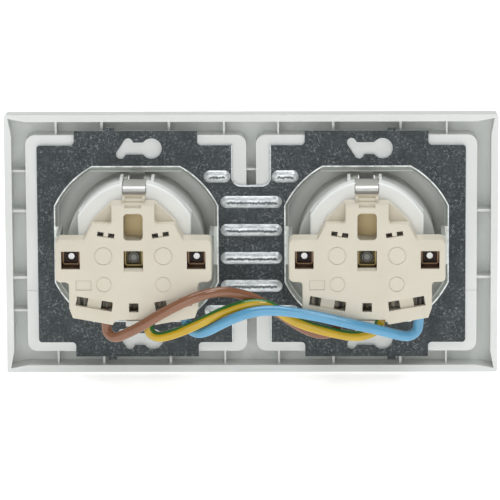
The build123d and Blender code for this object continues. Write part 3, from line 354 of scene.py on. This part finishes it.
def cream_plastic():
    """Cream moulding: painted shade tans deep parts and outlines the date field; the screws' metal
    lined windows carry painted shade and highlights.
    """
    shader = Shader("cream_plastic")
    tone = shader.clouds(90.0, (0.59, 0.552, 0.455), (0.625, 0.587, 0.489))
    depth = shader.axis("Y")
    # Painted shade: rear faces that lie deep are tinted tan.
    painted_shade_faces = shader.spread(shader.axis("Y", "Normal"), 0.5, 0.9)
    share = shader.combine("MULTIPLY", shader.spread(depth, *BASE_DEEP_PAINTED_SHADE), painted_shade_faces)
    moulded = shader.mix(share, tone, (0.6, 0.545, 0.42))
    # Painted shade: a darker line round the date field.
    moulded = shader.mix(date_field_shade_line(shader), moulded, (0.51, 0.477, 0.392))
    across, height = shader.off_unit(), shader.axis("Z")
    upright = shader.spread(shader.facing("Y"), 0.6, 0.4)
    wall = shader.combine("MULTIPLY", upright, shader.spread(depth, *LINING_START))
    reach = shader.spread(depth, *LINING_REACH, smooth=False)
    # Painted on the windows' walls: a metal lining with dark bands of painted shade and light
    # bands of painted highlight on lit rims.
    for middle, (width, tall), stops in (
        (SIDE_WINDOW_OFFSET, SIDE_WINDOW, SIDE_LINING_SHADE_AND_HIGHLIGHTS),
        (0.0, CENTRE_WINDOW, CENTRE_LINING_SHADE_AND_HIGHLIGHTS),
    ):
        beside = shader.within(across, middle, width / 2 + WINDOW_EDGE)
        level = shader.within(height, 0.0, tall / 2 + WINDOW_EDGE)
        mask = shader.combine("MULTIPLY", wall, shader.combine("MULTIPLY", beside, level))
        moulded = shader.mix(mask, moulded, shader.ramp(reach, stops))
    shader.feed("Base Color", moulded)
    shader.set(Specular_IOR_Level=0.35)
    shader.feed("Roughness", shader.drift(shader.noise(500.0), 0.42, 0.52))
    shader.bump(shader.noise(3000.0, 3.0, 0.6), 0.15, GRAIN_DEPTH)
    return shader.material


# Outline of each opening in the plate as radius, half width and half height, the width of its
# drawn collar, and the collar's painted highlight lines
OPENING = (27.7 * MM, 25.0 * MM, 24.2 * MM)
COLLAR_EDGE = (0.45 * MM, 0.25 * MM)
OUTER_HIGHLIGHT_LINE = (-0.25 * MM, -0.05 * MM)
INNER_HIGHLIGHT_LINE = (-1.15 * MM, -1.35 * MM)
BEAD_RISE = (0.2 * MM, 0.5 * MM)
# Tones of the zinc: flat faces given a dark painted reflection, light specks and hairlines, bead
# tops, and the painted glints, reflection, highlight and sheen of the collars and sloped faces
PLATE_REFLECTION_DARK, PLATE_REFLECTION_LIGHT = (0.016, 0.021, 0.023), (0.036, 0.043, 0.046)
MARK_TONE = (0.245, 0.268, 0.273)
BEAD_TOP_REFLECTION = (0.1, 0.112, 0.117)
GLINT_STOPS = [(0.35, (0.42, 0.45, 0.44)), (0.6, (0.86, 0.89, 0.88))]
COLLAR_REFLECTION_TONE = (0.56, 0.59, 0.55)
INNER_EDGE_HIGHLIGHT = (0.98, 1.0, 0.98)
SHEEN_STOPS = [(0.32, (0.42, 0.45, 0.46)), (0.62, (0.8, 0.84, 0.85))]
# Turns of the hairlines in the plane of the plate, and their scales along and across
HAIRLINE_TURNS = (0.35, 1.2, 1.9, 2.7)
HAIRLINE_SCALES = (200.0, 3600.0)


def zinc_marks(shader, specks):
    """Share of light specks and hairlines, stronger in some patches than in others."""
    marks = shader.spread(specks, 0.5, 0.68)
    for turn in HAIRLINE_TURNS:
        lines = shader.spread(shader.hairlines(turn, *HAIRLINE_SCALES), 0.64, 0.78)
        marks = shader.combine("MAXIMUM", marks, lines)
    patch = shader.spread(shader.noise(170.0, 3.0), 0.36, 0.6, 0.2, 1.0)
    return shader.combine("MULTIPLY", marks, patch)


def outside_opening(shader):
    """Distance outside the nearer opening of the plate, below 0 inside it.

    It is the largest of three values: the distance from the unit's axis less the radius, and
    the offset and height less the half width and half height.
    """
    places = (shader.radius(), shader.off_unit(), shader.combine("ABSOLUTE", shader.axis("Z")))
    beyond = [shader.combine("SUBTRACT", place, limit) for place, limit in zip(places, OPENING)]
    return shader.combine("MAXIMUM", beyond[0], shader.combine("MAXIMUM", *beyond[1:]))


def galvanised_steel():
    """Zinc plate: grainy flat faces painted dark as a painted reflection; painted sheen, glints
    and highlight lines on the beads and at the openings' collars.
    """
    shader = Shader("galvanised_steel")
    # Painted reflection: flat faces are given a dark tone, as of the dark surroundings they
    # mirror.
    tone = shader.clouds(240.0, PLATE_REFLECTION_DARK, PLATE_REFLECTION_LIGHT, 4.0, 0.6)
    specks = shader.noise(1150.0, 8.0, 0.78)
    grainy = shader.mix(zinc_marks(shader, specks), tone, MARK_TONE)
    depth = shader.axis("Y")
    # Painted reflection: the beads' raised tops take a mid dark tone between their bright slopes.
    raised = shader.spread(depth, *BEAD_RISE)
    flat = shader.mix(raised, grainy, BEAD_TOP_REFLECTION)
    # Mask of sloped faces, rippled a little, that take the painted sheen.
    ripple = shader.drift(shader.streaks((1300.0, 500.0, 500.0), 5.0, 0.75), -0.12, 0.12)
    wavy = shader.combine("MULTIPLY", raised, ripple)
    lean = shader.combine("ADD", shader.axis("Z", "Normal"), wavy)
    upright = shader.combine("ABSOLUTE", shader.combine("ADD", lean, 0.08))
    sloped_highlight_mask = shader.combine(
        "MAXIMUM",
        shader.spread(upright, 0.06, 0.26),
        shader.spread(shader.facing("X"), 0.08, 0.25),
    )
    outside = outside_opening(shader)
    # Painted highlight on the openings' collars: a reflection tone with glints and bright edge
    # lines.
    collar = shader.spread(outside, *COLLAR_EDGE)
    glint = shader.ramp(shader.noise(330.0, 3.0, 0.6), GLINT_STOPS)
    collar_highlight_band = shader.mix(shader.spread(outside, *OUTER_HIGHLIGHT_LINE), COLLAR_REFLECTION_TONE, glint)
    collar_highlight_band = shader.mix(shader.spread(depth, *INNER_HIGHLIGHT_LINE), collar_highlight_band, INNER_EDGE_HIGHLIGHT)
    # Painted sheen on the sloped faces and the collars.
    sheen = shader.ramp(shader.streaks((500.0, 1500.0, 1500.0), 4.0, 0.65), SHEEN_STOPS)
    highlight_mask = shader.combine("MAXIMUM", sloped_highlight_mask, collar)
    shader.feed("Base Color", shader.mix(highlight_mask, flat, shader.mix(collar, sheen, collar_highlight_band)))
    shader.feed("Metallic", shader.spread(highlight_mask, 0.0, 1.0, 0.9, 0.5))
    shader.feed("Roughness", shader.spread(highlight_mask, 0.0, 1.0, 0.42, 0.32))
    shader.bump(specks, 0.15, SPANGLE_DEPTH)
    return shader.material


SCREW_END_RADIUS = 1.75 * MM
SCREW_END_SHADE_STOPS = [
    (0.0, (0.2, 0.2, 0.185)),
    (0.45, (0.2, 0.2, 0.185)),
    (0.6, (0.05, 0.05, 0.04)),
    (0.72, (0.05, 0.05, 0.04)),
    (0.85, (0.3, 0.3, 0.28)),
]


def ringed_end():
    """Screw end with a ring turned into it: painted shade makes it dark at the ring, grey inside
    and out.
    """
    shader = Shader("ringed_end")
    outwards = shader.spread(shader.radius(), 0.0, SCREW_END_RADIUS, smooth=False)
    shader.feed("Base Color", shader.ramp(outwards, SCREW_END_SHADE_STOPS))
    shader.set(Metallic=0.4, Roughness=0.4)
    return shader.material


# Depths of the rims of the nuts' cages, and how far below them the painted highlight on the rim
# reaches
CENTRE_RIM = 20.3 * MM
SIDE_RIM = 19.0 * MM
RIM_HIGHLIGHT = (0.2 * MM, 0.05 * MM)


def caged_nut_metal(name, rim_depth, rim, light, dark):
    """Brass nut in its window, with a painted highlight on the rim of its cage and painted shade
    in the pocket.
    """
    shader = Shader(name)
    # Painted shade: the pocket's dark tones.
    pocket = shader.clouds(700.0, dark, light, 4.0, 0.6)
    # Painted highlight on the lit rim of the cage.
    edge = shader.spread(shader.axis("Y"), *(rim_depth - below for below in RIM_HIGHLIGHT))
    shader.feed("Base Color", shader.mix(edge, pocket, rim))
    shader.set(Metallic=0.4, Roughness=0.42)
    return shader.material


def bright_metal(name, light, dark, rough, stretch, metallic=1.0, limits=(NOISE_LOW, NOISE_HIGH)):
    """Drawn or plated metal: a streaky tone along one direction and fine scratches."""
    shader = Shader(name)
    streak = shader.streaks(stretch, 4.0, 0.6)
    shader.feed("Base Color", shader.ramp(streak, [*zip(limits, (dark, light))]))
    shader.set(Metallic=metallic)
    shader.feed("Roughness", shader.drift(streak, rough, rough + 0.12))
    shader.bump(streak, 0.15, GRAIN_DEPTH)
    return shader.material


# Painted reflection on the earth clip, by how squarely it faces the rear: a bright bend, dark
# faces square to the rear; and the height of its beige end, a painted reflection of the cream base
CLIP_REFLECTION_STOPS = [
    (0.0, (0.55, 0.545, 0.505)),
    (0.08, (0.55, 0.545, 0.505)),
    (0.2, (0.64, 0.64, 0.62)),
    (0.7, (0.66, 0.66, 0.64)),
    (0.94, (0.62, 0.62, 0.6)),
    (0.985, (0.2, 0.19, 0.175)),
]
CLIP_BEIGE_REFLECTION = (18.55 * MM, 18.3 * MM)


def plated_strip():
    """Plated spring strip: grey arms, a painted highlight on the bend, then under it a painted
    dark reflection and a beige painted reflection of the cream base.
    """
    shader = Shader("plated_strip")
    # Painted reflection: the tone follows how squarely the strip faces the rear, and turns beige
    # low down.
    turned = shader.facing("Y")
    low = shader.spread(shader.axis("Z"), *CLIP_BEIGE_REFLECTION)
    tone = shader.mix(low, shader.ramp(turned, CLIP_REFLECTION_STOPS), (0.6, 0.54, 0.43))
    streak = shader.streaks((260.0, 2600.0, 2600.0), 3.0, 0.6)
    shade = shader.spread(streak, 0.35, 0.65, 0.84, 1.0)
    shader.feed("Base Color", shader.mix(1.0, tone, shade, "MULTIPLY"))
    shader.feed("Metallic", shader.spread(turned, 0.05, 0.3, 0.2, 0.45))
    shader.set(Roughness=0.36)
    return shader.material


def dull_strip():
    """Brass strip dulled to a flat tan."""
    shader = Shader("dull_brass")
    shader.feed("Base Color", shader.clouds(220.0, (0.58, 0.46, 0.25), (0.65, 0.53, 0.3)))
    shader.set(Metallic=0.25, Roughness=0.5)
    return shader.material


def extruded(shader, tone):
    """Gives extruded insulation its tone and a soft gloss."""
    shader.feed("Base Color", tone)
    shader.set(Specular_IOR_Level=0.65)
    shader.feed("Roughness", shader.drift(shader.noise(700.0), 0.12, 0.18))
    return shader.material


def insulation(name, light, dark):
    """Insulation of one colour with a faint drift of tone."""
    shader = Shader(name)
    return extruded(shader, shader.clouds(130.0, dark, light))


# Share of the turn, from the top, at which the green stripe ends, and how far it wanders
STRIPE_EDGE = (0.125, 0.15)
STRIPE_WANDER = 0.03


def striped_insulation():
    """Yellow insulation with one green stripe, placed by the tube's own around attribute."""
    shader = Shader("earth_insulation")
    around = shader.add("ShaderNodeAttribute", attribute_name="around")
    offset = shader.spread(
        shader.noise(90.0), NOISE_LOW, NOISE_HIGH, -STRIPE_WANDER, STRIPE_WANDER, smooth=False
    )
    place = shader.combine("ADD", (around, "Fac"), offset)
    stripe = shader.spread(place, *STRIPE_EDGE, 1.0, 0.0)
    yellow = shader.clouds(130.0, (0.46, 0.295, 0.002), (0.53, 0.345, 0.004))
    return extruded(shader, shader.mix(stripe, yellow, (0.025, 0.15, 0.025)))


def dress(material, *names):
    """Gives a material to CAD nodes."""
    for name in names:
        mesh = nodes[name].data
        mesh.materials.clear()
        mesh.materials.append(material)


def of_both(*names):
    """The nodes of these names in the left and in the right unit."""
    return [f"{side}_{name}" for side in ("left", "right") for name in names]


dress(frame_plastic(), "cover_frame")
dress(centre_plastic(), *of_both("centre_plate"))
dress(cream_plastic(), *of_both("contact_carrier", "terminal_base"))
dress(galvanised_steel(), "support_plate")
dress(plated_strip(), *of_both("earth_clip"))
dress(
    bright_metal(
        "spring_steel",
        light=(0.22, 0.2, 0.155),
        dark=(0.008, 0.007, 0.005),
        rough=0.45,
        stretch=(1000.0, 100.0, 100.0),
        metallic=0.3,
        limits=(0.42, 0.6),
    ),
    *of_both("live_spring", "neutral_spring", "earth_spring"),
)
dress(
    bright_metal(
        "brass",
        light=(0.5, 0.36, 0.14),
        dark=(0.33, 0.22, 0.08),
        rough=0.3,
        stretch=(900.0, 900.0, 900.0),
    ),
    *of_both("live_contact", "neutral_contact"),
)
# Rim tone: painted highlight; light and dark tones: the pocket's painted shade.
dress(
    caged_nut_metal(
        "olive_brass_painted_light",
        CENTRE_RIM,
        rim=(0.4, 0.31, 0.12),
        light=(0.13, 0.1, 0.035),
        dark=(0.06, 0.047, 0.016),
    ),
    "centre_nuts",
)
# Rim tone: painted highlight; light and dark tones: the pocket's painted shade.
dress(
    caged_nut_metal(
        "umber_brass_painted_light",
        SIDE_RIM,
        rim=(0.4, 0.25, 0.14),
        light=(0.05, 0.022, 0.01),
        dark=(0.015, 0.007, 0.004),
    ),
    "side_nuts",
)
dress(dull_strip(), *of_both("earth_bridge"))
dress(
    bright_metal(
        "zinc_steel",
        light=(0.72, 0.72, 0.7),
        dark=(0.55, 0.55, 0.54),
        rough=0.3,
        stretch=(1200.0, 1200.0, 1200.0),
    ),
    "side_screws",
)
dress(ringed_end(), "centre_screws")
dress(
    bright_metal(
        "copper",
        light=(0.72, 0.4, 0.24),
        dark=(0.55, 0.27, 0.15),
        rough=0.3,
        stretch=(2000.0, 2000.0, 200.0),
    ),
    "conductor_ends",
)

# Link wires: the route points are those of the CAD tubes, in millimetres
WIRE_DIAMETER = 3.15
WIRE_DEPTH = 18.99
WIRE_START = -18.4
WIRE_SIDES = 28
ROUTES = {
    "brown_wire": (
        (44.2, WIRE_DEPTH, WIRE_START),
        (44.2, 19.0, -21.4),
        (43.8, 19.4, -24.0),
        (41.2, 20.7, -25.1),
        (37.3, 23.4, -22.8),
        (33.0, 25.7, -20.1),
        (28.4, 26.4, -17.0),
        (23.8, 26.8, -14.4),
        (18.9, 26.7, -12.0),
        (13.8, 25.9, -10.2),
        (8.8, 24.3, -9.7),
        (4.2, 22.1, -10.7),
        (-0.2, 19.9, -12.5),
        (-4.4, 18.7, -14.9),
        (-8.3, 18.3, -17.6),
        (-12.2, 18.1, -20.3),
        (-16.0, 18.2, -22.6),
        (-19.4, 18.4, -24.0),
        (-22.6, 18.4, -24.5),
        (-25.8, 18.6, -23.4),
        (-26.8, 19.0, -20.9),
        (-26.8, WIRE_DEPTH, WIRE_START),
    ),
    "earth_wire": (
        (31.4, WIRE_DEPTH, WIRE_START),
        (31.4, 19.0, -21.2),
        (30.9, 19.3, -23.8),
        (28.3, 20.2, -25.0),
        (24.6, 21.3, -24.0),
        (20.0, 22.3, -22.1),
        (15.0, 22.0, -19.9),
        (10.0, 21.7, -17.3),
        (5.0, 22.3, -15.2),
        (0.2, 23.2, -13.9),
        (-4.4, 22.9, -13.9),
        (-8.3, 22.4, -16.0),
        (-12.2, 22.1, -18.9),
        (-17.2, 22.1, -21.0),
        (-22.2, 22.2, -22.4),
        (-27.0, 21.8, -23.6),
        (-31.2, 21.1, -24.5),
        (-34.8, 20.0, -24.4),
        (-38.0, 19.3, -23.2),
        (-39.6, 19.0, -21.0),
        (-39.6, WIRE_DEPTH, WIRE_START),
    ),
    "blue_wire": (
        (19.7, WIRE_DEPTH, WIRE_START),
        (19.7, 19.0, -20.9),
        (18.4, 18.8, -23.1),
        (15.8, 19.6, -23.9),
        (12.6, 21.1, -22.6),
        (9.2, 23.1, -20.3),
        (5.4, 24.5, -18.2),
        (1.2, 25.5, -16.4),
        (-3.6, 26.0, -15.3),
        (-8.8, 26.3, -15.3),
        (-14.2, 26.5, -15.9),
        (-19.8, 26.6, -16.9),
        (-25.4, 26.5, -18.2),
        (-31.0, 26.2, -19.6),
        (-36.4, 25.2, -21.0),
        (-41.2, 23.5, -22.6),
        (-45.0, 21.6, -24.0),
        (-48.1, 20.2, -24.8),
        (-50.7, 19.3, -23.5),
        (-51.3, 19.0, -21.1),
        (-51.3, WIRE_DEPTH, WIRE_START),
    ),
}


def spline_points(name, route):
    """Points along the quadratic NURBS curve whose control points are the route."""
    data = bpy.data.curves.new(name + "_line", "CURVE")
    data.dimensions = "3D"
    spline = data.splines.new("NURBS")
    spline.points.add(len(route) - 1)
    for point, place in zip(spline.points, route):
        point.co = (*(value * MM for value in place), 1.0)
    spline.order_u = 3
    spline.use_endpoint_u = True
    spline.resolution_u = 10
    line = bpy.data.objects.new(name + "_line", data)
    mesh = bpy.data.meshes.new_from_object(line)
    points = np.empty(3 * len(mesh.vertices))
    mesh.vertices.foreach_get("co", points)
    bpy.data.objects.remove(line)
    bpy.data.curves.remove(data)
    bpy.data.meshes.remove(mesh)
    return points.reshape(-1, 3)


def carried_ups(tangents):
    """Directions square to a line, upright at its middle and carried both ways without twist.

    Each is the one before it less its share along the line, made one long again.
    """
    ups = np.zeros_like(tangents)
    middle = len(tangents) // 2
    for steps in (range(middle, len(tangents)), range(middle, -1, -1)):
        carried = np.array((0.0, 0.0, 1.0))
        for step in steps:
            carried = carried - tangents[step] * (carried @ tangents[step])
            carried = carried / np.linalg.norm(carried)
            ups[step] = carried
    return ups


def wire(name, material):
    """Round tube: each point is the line's point plus the radius times cos and sin of its turn.

    The turn is measured from the carried up direction, so the around attribute runs from 0 at
    the top to 0.5 below.
    """
    path = spline_points(name, ROUTES[name])
    count, sides = len(path), WIRE_SIDES
    tangents = np.gradient(path, axis=0)
    tangents /= np.linalg.norm(tangents, axis=1)[:, None]
    ups = carried_ups(tangents)
    across = np.cross(tangents, ups)
    turn = np.arange(sides) / sides * 2 * np.pi
    radius = WIRE_DIAMETER / 2 * MM
    rings = (
        path[:, None, :]
        + radius * np.cos(turn)[None, :, None] * ups[:, None, :]
        + radius * np.sin(turn)[None, :, None] * across[:, None, :]
    )
    rows, columns = np.meshgrid(np.arange(count - 1), np.arange(sides), indexing="ij")
    following = (columns + 1) % sides
    faces = np.stack(
        (
            rows * sides + columns,
            rows * sides + following,
            (rows + 1) * sides + following,
            (rows + 1) * sides + columns,
        ),
        axis=-1,
    ).reshape(-1, 4)
    caps = [tuple(range(sides))[::-1], tuple(range((count - 1) * sides, count * sides))]
    mesh = bpy.data.meshes.new(name + "_skin")
    mesh.from_pydata(rings.reshape(-1, 3).tolist(), [], [*map(tuple, faces.tolist()), *caps])
    share = np.minimum(turn, 2 * np.pi - turn) / (2 * np.pi)
    around = mesh.attributes.new("around", "FLOAT", "POINT")
    around.data.foreach_set("value", np.tile(share, count))
    mesh.polygons.foreach_set("use_smooth", [True] * len(faces) + [False] * len(caps))
    mesh.materials.append(material)
    piece = bpy.data.objects.new(name + "_skin", mesh)
    scene.collection.objects.link(piece)
    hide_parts(name)
    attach(piece, "root")
    return piece


brown = insulation("brown_insulation", light=(0.235, 0.1, 0.05), dark=(0.2, 0.083, 0.04))
wire("brown_wire", brown)
wire("earth_wire", striped_insulation())
blue = insulation("blue_insulation", light=(0.105, 0.33, 0.525), dark=(0.088, 0.285, 0.46))
wire("blue_wire", blue)

FLOOR_SIDE = 4.0
FLOOR_GAP = 0.2 * MM
FLOOR_GLOW = 0.6
SURROUND = 0.3
# Name, place, width, height and power of each soft light, all aimed at the origin
LIGHTS = (
    ("key_light", (-0.35, 0.75, 0.95), 0.35, 0.3, 2.4),
    ("fill_light", (0.15, 1.7, 0.36), 1.0, 0.8, 5.0),
    ("top_light", (0.0, -0.1, 1.1), 1.0, 0.8, 8.5),
)


def lay_floor():
    """A pale floor just under the frame's lower edge."""
    level = cad_box[0][2] - FLOOR_GAP
    turns = ((-1, -1), (1, -1), (1, 1), (-1, 1))
    mesh = bpy.data.meshes.new("floor")
    corners = [(x * FLOOR_SIDE, y * FLOOR_SIDE, level) for x, y in turns]
    mesh.from_pydata(corners, [], [(0, 1, 2, 3)])
    shader = Shader("pale_floor")
    shader.set(Base_Color=(0.9, 0.9, 0.9, 1.0), Roughness=0.9)
    shader.set(Emission_Color=(1.0, 1.0, 1.0, 1.0), Emission_Strength=FLOOR_GLOW)
    mesh.materials.append(shader.material)
    floor = bpy.data.objects.new("floor", mesh)
    scene.collection.objects.link(floor)


def light_scene():
    """Large soft lights and a dim even surround."""
    for name, place, width, height, power in LIGHTS:
        data = bpy.data.lights.new(name, "AREA")
        data.shape = "RECTANGLE"
        data.size = width
        data.size_y = height
        data.energy = power
        light = bpy.data.objects.new(name, data)
        scene.collection.objects.link(light)
        light.location = place
        light.rotation_euler = (-Vector(place)).to_track_quat("-Z", "Y").to_euler()
    world = bpy.data.worlds.new("surround")
    world.use_nodes = True
    background = world.node_tree.nodes["Background"]
    background.inputs["Color"].default_value = (1.0, 1.0, 1.0, 1.0)
    background.inputs["Strength"].default_value = SURROUND
    scene.world = world


lay_floor()
light_scene()
